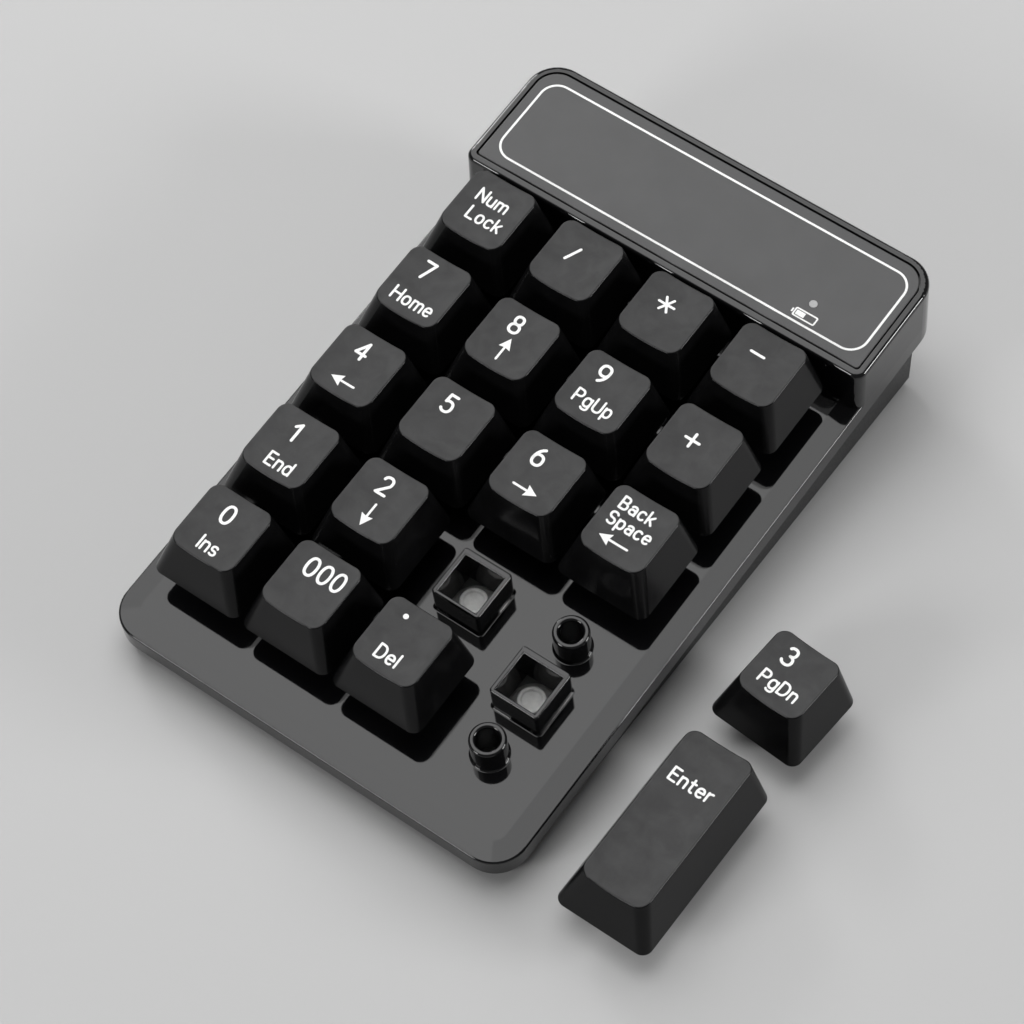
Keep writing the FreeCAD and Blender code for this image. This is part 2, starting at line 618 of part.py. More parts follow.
def contact_films():
    flat_layer("membrane_upper", "-film_top - film_thickness", "film_thickness", "stake_radius + 0.3")
    spacer = flat_layer("membrane_spacer", "-film_top - 2*film_thickness", "film_thickness", "stake_radius + 0.3")
    contacts = spacer.sketch("-film_top - film_thickness")
    for column, row in TOWER_PLACES:
        circle(contacts, "2.4", column_x(column), row_y(row))
    spacer.pocket(contacts)
    lower = flat_layer("membrane_lower", "-film_top - 3*film_thickness", "film_thickness", "stake_radius + 0.3")
    tail = lower.sketch("light_x - 2", role="YZ_Plane")
    low, high = "-film_top - 3*film_thickness", "board_bottom - 0.03"
    bend = "bar_front + 1.85"
    far_bend, under_high, over_low = bend + " + film_thickness", high + " - film_thickness", low + " + film_thickness"
    polygon(tail, (
        ("film_back - 1", low), (far_bend, low), (far_bend, under_high), ("bar_front + 6.5", under_high),
        ("bar_front + 6.5", high), (bend, high), (bend, over_low), ("film_back - 1", over_low)))
    lower.pad(tail, "10", both=True)
    flat_layer("backing_plate", "-film_top - 3*film_thickness - stiffener", "stiffener", "stake_radius + 0.2")
    clamp = Piece("tail_clamp")
    bar = clamp.sketch("board_bottom - 1.55")
    rectangle(bar, "light_x - 7.2", "bar_front + 3.4", "light_x + 4.2", "bar_front + 6.4")
    clamp.pad(bar, "1.35")


BOARD_SCREWS = (("cell_left - 4.2", "62.6"), ("cell_left + cell_length + 2.35", "62.6"))


def circuit_board():
    board = Piece("controller_board")
    outline = board.sketch("board_bottom")
    rounded(outline, "case_shift - 39.9", "bar_front + 2.6", "case_shift + 39.9", "66.4", "3")
    for x, y in BOARD_SCREWS:
        circle(outline, "screw_radius + 0.15", x, y)
    board.pad(outline, "board_thickness")

    top = "board_bottom + board_thickness"
    parts = Piece("board_components")
    chips = (("-4.5", "57", "5", "5", "1.0"), ("5.5", "58", "3.2", "2.5", "0.9"), ("-15", "59", "4", "3", "1.2"),
             ("14", "56", "1.6", "0.8", "0.6"), ("14", "59", "1.6", "0.8", "0.6"), ("18", "57.5", "2", "1.25", "0.8"))
    finished.pop("board_components")
    doc.removeObject(parts.body.Name)
    blocks = []
    for i, (x, y, width, depth, height) in enumerate(chips):
        block = doc.addObject("Part::Box", "component_%d" % i)
        bind(block, Length=width, Width=depth, Height=height)
        spot = Vector(number("%s - %s/2" % (x, width)), number("%s - %s/2" % (y, depth)), number(top))
        block.Placement = FreeCAD.Placement(spot, FreeCAD.Rotation())
        blocks.append(block)
    group = doc.addObject("Part::Compound", "board_components")
    group.Links = blocks
    group.Placement = KEY_FRAME
    finished["board_components"] = group


# ---------------------------------------------------------------- lower shell and what it holds

CELL_RIGHT = "cell_left + cell_length"
DOOR_LEFT, DOOR_RIGHT = "cell_left - 3.6", "%s + 1.0" % CELL_RIGHT
DOOR_FRONT = "cell_y - cell_radius - 0.6"
BOSS_END = "-deck_thickness - 2.3"
FRONT_SEAT, REAR_SEAT = "-5.6", "-7.25"
FEET = [("case_shift %s 34" % side, y) for side in "-+" for y in ("-45", "44.5")]


def deck_line(y, depth):
    """Height above the desk of a plane parallel to the deck and depth below it, at a level y."""
    return "(deck_rise - (%s)/cos(tilt) + (%s)*tan(tilt))" % (depth, y)


def screw_posts(shell):
    """Posts, bores and sunk seats for the four screws that hold the shells together."""
    for places, seat, radius in ((FRONT_BOSSES, FRONT_SEAT, "3"), (REAR_BOSSES, REAR_SEAT, "2.6")):
        bottom = seat if places is FRONT_BOSSES else seat + " - screw_head_height - 0.1"
        posts, bores, sinks = (shell.sloping_sketch(height) for height in (bottom, seat, seat))
        for x, y in places:
            circle(posts, radius, x, y)
            circle(bores, "screw_radius + 0.1", x, y)
            circle(sinks, "screw_head + 0.2", x, y)
        shell.pad(posts, "%s - 0.05 - (%s)" % (BOSS_END, bottom))
        shell.pocket(bores, "4", reverse=True)
        shell.pocket(sinks)


def lower_shell():
    shell = Piece("bottom_case", DESK_FRAME)
    left, right = "case_shift - case_width/2 + base_inset", "case_shift + case_width/2 - base_inset"
    front, back = "-case_front + base_inset + 0.4", "case_back - base_inset"
    block = shell.sketch("underside")
    rounded(block, left, front, right, back, "case_corner - base_inset")
    shell.pad(block, "16")
    above = shell.sketch(role="YZ_Plane")
    polygon(above, (("-70", deck_line("-70", "skirt_drop")), ("90", deck_line("90", "skirt_drop")), ("90", "40"),
                    ("-70", "40")))
    shell.pocket(above, both=True)
    behind = shell.sketch(role="YZ_Plane")
    polygon(behind, (("base_back", "0.2"), ("base_back", deck_line("base_back", "skirt_drop + 1.7")),
                     ("90", deck_line("90", "skirt_drop + 1.7")), ("90", "0.2")))
    shell.pocket(behind, both=True)
    room = shell.sketch("underside + base_floor")
    rounded(room, "%s + base_wall" % left, "%s + base_wall" % front, "%s - base_wall" % right,
            "base_back - base_wall", "3")
    shell.pocket(room, reverse=True)

    for x in ("-24", "case_shift", "27"):
        rib = shell.sketch(x, role="YZ_Plane")
        depth = "film_top + 3*film_thickness + stiffener + 0.08"
        polygon(rib, (("-48.5", "underside + base_floor - 0.2"), ("41", "underside + base_floor - 0.2"),
                      ("41", deck_line("41", depth)), ("-48.5", deck_line("-48.5", depth))))
        shell.pad(rib, "1.2", both=True)
    screw_posts(shell)

    for x in ("cell_left - 5.3", "%s + 2.6" % CELL_RIGHT):
        wall = shell.sketch(x, role="YZ_Plane")
        low = "underside + base_floor - 0.2"
        polygon(wall, (("cell_y - 6.5", low), ("base_back - 0.5", low),
                       ("base_back - 0.5", deck_line("base_back - 0.5", "-board_bottom")),
                       ("cell_y - 6.5", deck_line("cell_y - 6.5", "-board_bottom"))))
        shell.pad(wall, "2.4", both=True)
    for x, y in BOARD_SCREWS:
        boss = shell.sketch("17.8")
        square(boss, "4.2", x, "%s - 0.5" % y)
        shell.pad(boss, "1.8")
    cores = shell.sloping_sketch("board_bottom")
    for x, y in BOARD_SCREWS:
        circle(cores, "screw_radius", x, y)
    shell.pocket(cores, "4.5")
    divider = shell.sketch("underside + base_floor - 0.2")
    rectangle(divider, "cell_left - 6.3", "%s - 1.4" % DOOR_FRONT, "%s + 3.6" % CELL_RIGHT, "%s - 0.4" % DOOR_FRONT)
    shell.pad(divider, "4.2")

    gap, wing = "0.15", "1.0"
    opening = shell.sketch("underside")
    rectangle(opening, "%s - %s" % (DOOR_LEFT, gap), "%s - %s" % (DOOR_FRONT, gap), "%s + %s" % (DOOR_RIGHT, gap),
              "base_back + 1")
    shell.pocket(opening, "base_floor + 0.1", reverse=True)
    grooves = shell.sketch("underside + 0.65")
    rectangle(grooves, "%s - %s - %s" % (DOOR_LEFT, wing, gap), "%s - %s" % (DOOR_FRONT, gap),
              "%s + %s + %s" % (DOOR_RIGHT, wing, gap), "base_back + 1")
    shell.pocket(grooves, "base_floor - 0.65 + 0.1", reverse=True)

    dock = shell.sketch("underside + base_floor - 0.2")
    rectangle(dock, "dock_x - receiver_width/2 - 1.2", "base_back - receiver_length - 1.0",
              "dock_x + receiver_width/2 + 1.2", "base_back - 0.5")
    shell.pad(dock, "dock_z + receiver_height/2 + 1.2 - underside - base_floor + 0.2")
    slot = shell.sketch("dock_z - receiver_height/2 - 0.1")
    rectangle(slot, "dock_x - receiver_width/2 - 0.1", "base_back - receiver_length + 0.6",
              "dock_x + receiver_width/2 + 0.1", "base_back + 1")
    shell.pocket(slot, "receiver_height + 0.2", reverse=True)

    sinks = shell.sketch("underside")
    for x, y in FEET:
        circle(sinks, "foot_radius + 0.1", x, y)
    shell.pocket(sinks, "foot_sink", reverse=True)
    window = shell.sketch("underside")
    rectangle(window, "switch_x - 2.9", "switch_y - 1.3", "switch_x + 2.9", "switch_y + 1.3")
    shell.pocket(window, "base_floor + 0.1", reverse=True)
    label = shell.sketch("underside")
    rounded(label, "case_shift - 24", "-34", "case_shift + 24", "-6", "1.5")
    shell.pocket(label, "0.25", reverse=True)


def battery():
    turn = FreeCAD.Rotation(Vector(0, 1, 0), 90)
    spot = Vector(number("cell_left"), number("cell_y"), number("cell_z"))
    cell = Piece("battery_cell", DESK_FRAME.multiply(FreeCAD.Placement(spot, turn)))
    can = cell.sketch()
    circle(can, "cell_radius")
    cell.pad(can, "cell_length")
    cell.fillet("0.6", lambda box: box.XLength > 10)
    nub = cell.sketch("cell_length - 0.1")
    circle(nub, "2.75")
    cell.pad(nub, "1.1")

    plus = Piece("battery_contact", DESK_FRAME)
    plate = plus.sketch("%s + 1.05" % CELL_RIGHT, role="YZ_Plane")
    rectangle(plate, "cell_y - 4.5", "cell_z - 5", "cell_y + 4.5", "cell_z + 5")
    plus.pad(plate, "0.3")
    minus_spring()


def minus_spring():
    """Conical coil between the left wall and the cell's flat end, with its base plate."""
    turns, steps = 3, 18
    wire, wide, narrow = 0.3, 4.2, 2.4
    start = number("cell_left - 4.05") + 0.3
    room = number("cell_left") - start
    points = []
    for i in range(turns * steps + 1):
        share = i / (turns * steps)
        angle = 2 * math.pi * i / steps
        radius = wide + (narrow - wide) * share
        x = start + 0.05 + wire + (room - 2 * wire - 0.15) * share
        points.append(Vector(x, radius * math.cos(angle), radius * math.sin(angle)))
    path = Part.BSplineCurve()
    path.interpolate(points)
    spine = Part.Wire([path.toShape()])
    tangent = path.tangent(path.FirstParameter)[0]
    ring = Part.Wire([Part.makeCircle(wire, points[0], tangent)])
    coil = spine.makePipeShell([ring], True, True)
    plate = Part.makeBox(0.3, 9, 10, Vector(start - 0.3, -4.5, -5))
    spring = doc.addObject("Part::Feature", "battery_spring")
    spring.Shape = Part.makeCompound([coil, plate])
    spring.Placement = DESK_FRAME.multiply(
        FreeCAD.Placement(Vector(0, number("cell_y"), number("cell_z")), FreeCAD.Rotation()))
    finished["battery_spring"] = spring


def battery_door():
    door = Piece("battery_door", DESK_FRAME)
    panel = door.sketch("underside")
    rectangle(panel, DOOR_LEFT, DOOR_FRONT, DOOR_RIGHT, "base_back")
    door.pad(panel, "base_floor")
    wings = door.sketch("underside + 0.75")
    rectangle(wings, "%s - 1.0" % DOOR_LEFT, DOOR_FRONT, "%s + 1.0" % DOOR_RIGHT, "base_back - 2")
    door.pad(wings, "base_floor - 0.75")
    grips = door.sketch("underside")
    for i in range(5):
        y = "base_back - %s" % (4.0 + 1.5 * i)
        rectangle(grips, "(%s + %s)/2 - 6" % (DOOR_LEFT, DOOR_RIGHT), y, "(%s + %s)/2 + 6" % (DOOR_LEFT, DOOR_RIGHT),
                  y + " + 0.7")
    door.pocket(grips, "0.4", reverse=True)


def receiver():
    usb = Piece("usb_receiver", DESK_FRAME)
    plug = usb.sketch("dock_z - receiver_height/2")
    rectangle(plug, "dock_x - receiver_width/2", "base_back - receiver_length + 1.0", "dock_x + receiver_width/2",
              "base_back - 4.2")
    usb.pad(plug, "receiver_height")
    mouth = usb.sketch("base_back - receiver_length + 1.0", role="XZ_Plane")
    mouth.setExpression("AttachmentOffset.Base.z", sized("-(base_back - receiver_length + 1.0)"))
    rectangle(mouth, "dock_x - receiver_width/2 + 0.4", "dock_z - receiver_height/2 + 0.4",
              "dock_x + receiver_width/2 - 0.4", "dock_z + 0.1")
    usb.pocket(mouth, "9")
    grip = usb.sketch("dock_z - receiver_height/2")
    rounded(grip, "dock_x - receiver_width/2", "base_back - 4.5", "dock_x + receiver_width/2", "base_back + 0.9", "0.8")
    usb.pad(grip, "receiver_height")


def power_switch():
    housing = Piece("power_switch_body", DESK_FRAME)
    block = housing.sketch("underside + base_floor + 0.02")
    rectangle(block, "switch_x - 4.4", "switch_y - 1.9", "switch_x + 4.4", "switch_y + 1.9")
    housing.pad(block, "3.4")
    track = housing.sketch("underside + base_floor + 0.02")
    rectangle(track, "switch_x - 3.4", "switch_y - 0.9", "switch_x + 3.4", "switch_y + 0.9")
    housing.pocket(track, "2.2", reverse=True)
    knob = Piece("power_switch_knob", DESK_FRAME)
    stub = knob.sketch("0.5")
    rectangle(stub, "switch_x - 2.7", "switch_y - 0.75", "switch_x - 0.3", "switch_y + 0.75")
    knob.pad(stub, "underside + base_floor + 1.6 - 0.5")


def feet_and_screws():
    pads = []
    for i, (x, y) in enumerate(FEET):
        pad = doc.addObject("Part::Cylinder", "foot_%d" % i)
        bind(pad, Radius="foot_radius", Height="underside + foot_sink")
        pad.Placement = FreeCAD.Placement(Vector(number(x), number(y), 0), FreeCAD.Rotation())
        pads.append(pad)
    feet = doc.addObject("Part::Compound", "rubber_feet")
    feet.Links = pads
    feet.Placement = DESK_FRAME
    finished["rubber_feet"] = feet

    case_screws = []
    rows = (("front", FRONT_BOSSES, FRONT_SEAT, "4.4"), ("rear", REAR_BOSSES, REAR_SEAT, "6.8"))
    for where, places, seat, reach in rows:
        for i, (x, y) in enumerate(places):
            case_screws.append(screw("case_screw_%s_%d" % (where, i), x, y, seat, reach, 1))
    for i, (x, y) in enumerate(BOARD_SCREWS):
        case_screws.append(screw("board_screw_%d" % i, x, y, "board_bottom + board_thickness", "4.0", -1))
    group = doc.addObject("Part::Compound", "screws")
    group.Links = case_screws
    group.Placement = KEY_FRAME
    finished["screws"] = group


def screw(name, x, y, seat, length, way):
    """Pan head screw seated at a height in the key frame, pointing up (way 1) or down (way -1)."""
    head = doc.addObject("Part::Cylinder", name + "_head")
    bind(head, Radius="screw_head", Height="screw_head_height")
    shank = doc.addObject("Part::Cylinder", name + "_shank")
    bind(shank, Radius="screw_radius - 0.02", Height=length)
    slot = doc.addObject("Part::Box", name + "_slot")
    bind(slot, Length="2.4", Width="0.45", Height="0.5")
    seat_height, head_height = number(seat), number("screw_head_height")
    if way > 0:
        head.Placement = place_at(x, y, seat_height - head_height)
        shank.Placement = place_at(x, y, seat_height)
        slot.Placement = place_at(x, y, seat_height - head_height, -1.2, -0.225)
    else:
        head.Placement = place_at(x, y, seat_height)
        shank.Placement = place_at(x, y, seat_height - number(length))
        slot.Placement = place_at(x, y, seat_height + head_height - 0.5, -1.2, -0.225)
    whole = doc.addObject("Part::Fuse", name + "_blank")
    whole.Base, whole.Tool = head, shank
    cut = doc.addObject("Part::Cut", name)
    cut.Base, cut.Tool = whole, slot
    return cut


def place_at(x, y, z, dx=0.0, dy=0.0):
    return FreeCAD.Placement(Vector(number(x) + dx, number(y) + dy, z), FreeCAD.Rotation())


# ---------------------------------------------------------------- build, check, write

def check_and_write():
    doc.recompute()
    for item in doc.Objects:
        if "Invalid" in item.State or "Error" in item.State:
            raise RuntimeError("%s failed: %s" % (item.Label, item.State))
    os.makedirs("parts", exist_ok=True)
    for label, item in sorted(finished.items()):
        shape = item.Shape
        if shape.isNull() or not shape.isValid():
            raise RuntimeError("%s has a bad shape" % label)
        shape.exportStep(os.path.join("parts", label + ".step"))
        box = shape.BoundBox
        print("%-22s solids %d  volume %9.2f  x %7.2f %7.2f  y %7.2f %7.2f  z %6.2f %6.2f" % (
            label, len(shape.Solids), shape.Volume, box.XMin, box.XMax, box.YMin, box.YMax, box.ZMin, box.ZMax))


key_caps_and_domes()
upper_shell()
inlaid_panel()
status_light()
contact_films()
circuit_board()
lower_shell()
battery()
battery_door()
receiver()
power_switch()
feet_and_screws()
check_and_write()
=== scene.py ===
"""Looks for the numeric keypad: materials, key legends, panel markings, domes, floor, light and camera."""

import json
import math

import bmesh
import bpy
from mathutils import Matrix, Vector

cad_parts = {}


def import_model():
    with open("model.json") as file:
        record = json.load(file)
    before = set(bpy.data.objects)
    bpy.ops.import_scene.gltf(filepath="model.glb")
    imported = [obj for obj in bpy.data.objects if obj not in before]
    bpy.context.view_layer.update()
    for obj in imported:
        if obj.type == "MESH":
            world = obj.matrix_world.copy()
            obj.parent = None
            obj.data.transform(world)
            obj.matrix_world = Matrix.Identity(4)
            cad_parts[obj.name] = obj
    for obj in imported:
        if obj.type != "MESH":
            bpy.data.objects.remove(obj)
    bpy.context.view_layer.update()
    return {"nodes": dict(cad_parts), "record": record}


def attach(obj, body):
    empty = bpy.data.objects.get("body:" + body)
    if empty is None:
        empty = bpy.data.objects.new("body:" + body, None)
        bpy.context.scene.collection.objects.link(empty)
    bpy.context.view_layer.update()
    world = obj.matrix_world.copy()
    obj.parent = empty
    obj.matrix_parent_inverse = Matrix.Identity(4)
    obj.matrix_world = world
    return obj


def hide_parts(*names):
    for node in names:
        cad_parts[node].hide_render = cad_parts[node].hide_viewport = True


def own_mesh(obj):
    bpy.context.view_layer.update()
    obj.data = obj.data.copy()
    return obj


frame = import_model()
NODES = frame["nodes"]
MM = 0.001
INK_THICKNESS = 0.024
LONGEST_EDGE = 0.9

# ---------------------------------------------------------------- the object's own sizes, millimetres

TILT = math.radians(4.5)
DECK_RISE = 12.2
ORIGIN = Vector((15.12, 8.9, 0.0))
PITCH = 19.05
CAP_GAP = 5.9
CAP_RISE = 8.4
DISH_RADIUS = 34.0
STEM_DROP = 5.8
FILM_TOP = 3.7
PANEL_TOP = 9.55

DECK = Matrix.Translation((Vector((0, 0, DECK_RISE)) - ORIGIN) * MM) @ Matrix.Rotation(TILT, 4, "X")

# Key name, column, row, and its marks: (kind, text or heading, x, y, size).
DIGIT, WORD, SMALL_WORD = 3.45, 2.5, 2.35
DIGIT_PEN, WORD_PEN, PLUS_PEN, STAR_PEN, LINE_PEN = 0.54, 0.42, 0.53, 0.46, 0.5
KEYS = (
    ("num_lock", 0, 0, (("word", "Num", -0.4, 3.2, WORD), ("word", "Lock", 0.6, -0.8, WORD))),
    ("divide", 1, 0, (("line", 65, -1.4, 2.0, 3.3),)),
    ("multiply", 2, 0, (("star", None, -0.9, 2.5, 3.1),)),
    ("minus", 3, 0, (("line", 0, -1.3, 2.9, 2.6),)),
    ("seven", 0, 1, (("digit", "7", -1.6, 4.2, DIGIT), ("word", "Home", 0.1, -2.3, WORD))),
    ("eight", 1, 1, (("digit", "8", -1.1, 3.9, DIGIT), ("arrow", 90, -0.2, -1.3, 4.9))),
    ("nine", 2, 1, (("digit", "9", -1.9, 4.2, DIGIT), ("word", "PgUp", 0.0, -1.9, WORD))),
    ("plus", 3, 1, (("plus", None, -1.0, 1.9, 2.7),)),
    ("four", 0, 2, (("digit", "4", -1.2, 4.0, DIGIT), ("arrow", 180, -0.4, -2.8, 5.0))),
    ("five", 1, 2, (("digit", "5", -1.5, 3.8, DIGIT),)),
    ("six", 2, 2, (("digit", "6", -1.6, 3.9, DIGIT), ("arrow", 0, -0.1, -2.5, 5.0))),
    ("backspace", 3, 2, (("word", "Back", -0.8, 4.7, SMALL_WORD), ("word", "Space", -0.1, 1.0, SMALL_WORD),
                         ("arrow", 180, -0.9, -2.4, 5.9))),
    ("one", 0, 3, (("digit", "1", -1.2, 3.8, DIGIT), ("word", "End", 0.4, -2.6, WORD))),
    ("two", 1, 3, (("digit", "2", -1.0, 4.0, DIGIT), ("arrow", 270, -0.2, -2.0, 4.9))),
    ("three", None, None, (("digit", "3", -2.0, 4.0, DIGIT), ("word", "PgDn", 0.0, -1.9, WORD))),
    ("enter", None, None, (("word", "Enter", -0.3, 8.4, WORD),)),
    ("zero", 0, 4, (("digit", "0", -0.8, 3.7, DIGIT), ("word", "Ins", 0.1, -2.7, WORD))),
    ("triple_zero", 1, 4, (("digit", "000", 0.8, 3.8, DIGIT),)),
    ("decimal", 2, 4, (("dot", None, -2.4, 5.2, 1.0), ("word", "Del", -0.6, -2.2, WORD))),
)
LOOSE = {"three": (62.2, -2.9, -4.0), "enter": (61.1, -36.5, 0.0)}
SOCKETS = {"three": (2, 3), "enter": (3, 3.5)}
MIDDLE_COLUMN, MIDDLE_ROW = 1.5, 2


def key_spot(column, row):
    return (column - MIDDLE_COLUMN) * PITCH, (MIDDLE_ROW - row) * PITCH


def cap_matrix(name, column, row):
    """Where a cap's own frame lies: its origin is on the stem axis, at the skirt."""
    if name in LOOSE:
        x, y, turn = LOOSE[name]
        spot = (Vector((x, y, STEM_DROP)) - ORIGIN) * MM
        return Matrix.Translation(spot) @ Matrix.Rotation(math.radians(turn), 4, "Z")
    x, y = key_spot(column, row)
    return DECK @ Matrix.Translation(Vector((x, y, CAP_GAP)) * MM)


# ---------------------------------------------------------------- materials

class Surface:
    """A node material on one Principled shader, with short ways to add texture."""

    def __init__(self, name, colour, roughness, metallic=0.0, coat=0.0, specular=0.5,
                 transmission=0.0, ior=1.5):
        self.material = bpy.data.materials.new(name)
        self.material.use_nodes = True
        self.tree = self.material.node_tree
        self.shader = self.tree.nodes["Principled BSDF"]
        for socket, value in (("Base Color", (*colour, 1.0)), ("Roughness", roughness), ("Metallic", metallic),
                              ("Coat Weight", coat), ("Specular IOR Level", specular),
                              ("Transmission Weight", transmission), ("IOR", ior)):
            self.shader.inputs[socket].default_value = value
        self.coordinates = self.tree.nodes.new("ShaderNodeTexCoord").outputs["Object"]
        self.normal = None

    def node(self, kind, **values):
        made = self.tree.nodes.new(kind)
        for key, value in values.items():
            if key in made.inputs:
                made.inputs[key].default_value = value
            else:
                setattr(made, key, value)
        return made

    def link(self, source, target):
        self.tree.links.new(source, target)

    def noise(self, size, detail=3.0, distortion=0.0, stretch=(1, 1, 1)):
        """Noise with features about size metres across."""
        mapping = self.node("ShaderNodeMapping")
        mapping.inputs["Scale"].default_value = Vector(stretch) / size
        self.link(self.coordinates, mapping.inputs["Vector"])
        noise = self.node("ShaderNodeTexNoise")
        noise.inputs["Scale"].default_value = 1.0
        noise.inputs["Detail"].default_value = detail
        noise.inputs["Distortion"].default_value = distortion
        self.link(mapping.outputs["Vector"], noise.inputs["Vector"])
        return noise.outputs["Fac"]

    def spread(self, factor, low, high, start=0.3, end=0.7):
        """Map a noise value to a range."""
        ranged = self.node("ShaderNodeMapRange")
        for name, value in (("From Min", start), ("From Max", end), ("To Min", low), ("To Max", high)):
            ranged.inputs[name].default_value = value
        self.link(factor, ranged.inputs["Value"])
        return ranged.outputs["Result"]

    def mix_colours(self, factor, dark, light):
        mix = self.node("ShaderNodeMix", data_type="RGBA")
        for socket, value in ((6, dark), (7, light)):
            if isinstance(value, (tuple, list)):
                mix.inputs[socket].default_value = (*value, 1.0)
            else:
                self.link(value, mix.inputs[socket])
        self.link(factor, mix.inputs[0])
        return mix.outputs[2]

    def colour(self, source):
        self.link(source, self.shader.inputs["Base Color"])

    def roughness(self, source):
        self.link(source, self.shader.inputs["Roughness"])

    def bump(self, height, strength, distance):
        """Add a bump on top of the ones before it; distance in metres."""
        bump = self.node("ShaderNodeBump")
        bump.inputs["Strength"].default_value = strength
        bump.inputs["Distance"].default_value = distance
        self.link(height, bump.inputs["Height"])
        if self.normal:
            self.link(self.normal, bump.inputs["Normal"])
        self.normal = bump.outputs["Normal"]
        self.link(self.normal, self.shader.inputs["Normal"])


def textured_plastic(name, colour, roughness, grain=0.00025, depth=0.00001, strength=0.35, vary=0.2):
    """Moulded plastic with a spark-eroded grain and slight unevenness."""
    surface = Surface(name, colour, roughness)
    fine = surface.noise(grain, detail=2.0)
    broad = surface.noise(0.006, detail=3.0)
    darker = tuple(c * (1 - vary) for c in colour)
    lighter = tuple(c * (1 + vary) for c in colour)
    surface.colour(surface.mix_colours(surface.spread(broad, 0, 1), darker, lighter))
    surface.roughness(surface.spread(fine, roughness - 0.06, roughness + 0.06))
    surface.bump(fine, strength, depth)
    return surface


def facing_up(surface, low, high):
    """0 to 1 as the surface turns from leaning to facing up, from the object's own normals."""
    normals = surface.node("ShaderNodeTexCoord").outputs["Normal"]
    split = surface.node("ShaderNodeSeparateXYZ")
    surface.link(normals, split.inputs["Vector"])
    return surface.spread(split.outputs["Z"], 0, 1, low, high)


def keycap_material():
    """Satin stippled finger face and smoother flanks; the flanks' colour is painted shade, near-black wherever
    the normals lean away from up.
    """
    surface = Surface("keycap_plastic", (0.03, 0.03, 0.03), 0.4, specular=0.18)
    up = facing_up(surface, 0.78, 0.96)
    stipple = surface.noise(0.00028, detail=3.0)
    patch = surface.noise(0.0035, detail=4.0, distortion=0.4)
    face = surface.mix_colours(surface.spread(patch, 0, 1), (0.040, 0.040, 0.0405), (0.056, 0.056, 0.0565))
    # Painted shade: the leaning flanks get a near-black copy of the face colour, because they face away from
    # the overhead light.
    shaded_flank = surface.mix_colours(surface.spread(patch, 0, 1), (0.0035, 0.0035, 0.0037), (0.005, 0.005, 0.0053))
    # The normal mask gives up-facing tops the lit face colour and the flanks the painted-shade colour.
    surface.colour(surface.mix_colours(up, shaded_flank, face))
    grained = surface.spread(stipple, 0.46, 0.60)
    smooth = surface.spread(patch, 0.20, 0.26)
    mix = surface.node("ShaderNodeMix", data_type="FLOAT")
    surface.link(up, mix.inputs[0])
    surface.link(smooth, mix.inputs[2])
    surface.link(grained, mix.inputs[3])
    surface.roughness(mix.outputs[0])
    masked = surface.node("ShaderNodeMath", operation="MULTIPLY")
    surface.link(stipple, masked.inputs[0])
    surface.link(up, masked.inputs[1])
    surface.bump(masked.outputs[0], 0.5, 0.00002)
    return surface.material


def piano_black():
    """Polished black shell with faint waviness, fine hairlines and a little dust in the roughness."""
    surface = Surface("piano_black", (0.0035, 0.0035, 0.004), 0.05, coat=0.12)
    surface.shader.inputs["Coat Roughness"].default_value = 0.03
    wave = surface.noise(0.012, detail=1.0)
    hair = surface.noise(0.0012, detail=2.0, distortion=2.0, stretch=(1, 0.12, 1))
    surface.roughness(surface.spread(hair, 0.04, 0.085))
    surface.bump(wave, 0.06, 0.0002)
    return surface.material


def dome_rubber():
    """Milky translucent silicone, a little tacky and dusty."""
    surface = Surface("dome_rubber", (0.55, 0.55, 0.54), 0.42, ior=1.41)
    cloud = surface.noise(0.0011, detail=3.0)
    surface.colour(surface.mix_colours(surface.spread(cloud, 0, 1), (0.50, 0.50, 0.49), (0.62, 0.62, 0.61)))
    surface.roughness(surface.spread(cloud, 0.36, 0.5))
    surface.shader.inputs["Subsurface Weight"].default_value = 0.6
    surface.shader.inputs["Subsurface Radius"].default_value = (0.0015, 0.0015, 0.0015)
    surface.shader.inputs["Subsurface Scale"].default_value = 1.0
    surface.bump(surface.noise(0.0004, detail=2.0), 0.2, 0.00002)
    return surface.material


def clear_film():
    surface = Surface("film_plastic", (0.72, 0.74, 0.73), 0.18, transmission=0.6)
    surface.roughness(surface.spread(surface.noise(0.002), 0.12, 0.26))
    surface.bump(surface.noise(0.004), 0.1, 0.00004)
    return surface.material


def brushed_metal(name, colour, roughness, stretch=(0.05, 1, 1)):
    surface = Surface(name, colour, roughness, metallic=1.0)
    lines = surface.noise(0.0004, detail=3.0, stretch=stretch)
    surface.roughness(surface.spread(lines, roughness - 0.08, roughness + 0.1))
    surface.bump(lines, 0.15, 0.00001)
    return surface.material


def printed_ink():
    """White pad-printed ink, slightly uneven."""
    surface = Surface("white_ink", (0.9, 0.9, 0.89), 0.45)
    spots = surface.noise(0.0003, detail=2.0)
    surface.colour(surface.mix_colours(surface.spread(spots, 0, 1), (0.86, 0.86, 0.85), (0.94, 0.94, 0.93)))
    surface.bump(spots, 0.2, 0.00001)
    return surface.material


def board_mask():
    """Green solder mask over a network of copper tracks."""
    surface = Surface("board_green", (0.01, 0.09, 0.035), 0.28, coat=0.3)
    tracks = surface.noise(0.0016, detail=0.0, distortion=0.6)
    raised = surface.spread(tracks, 0, 1, 0.48, 0.5)
    surface.colour(surface.mix_colours(raised, (0.008, 0.075, 0.03), (0.015, 0.13, 0.05)))
    surface.bump(raised, 0.3, 0.00003)
    return surface.material


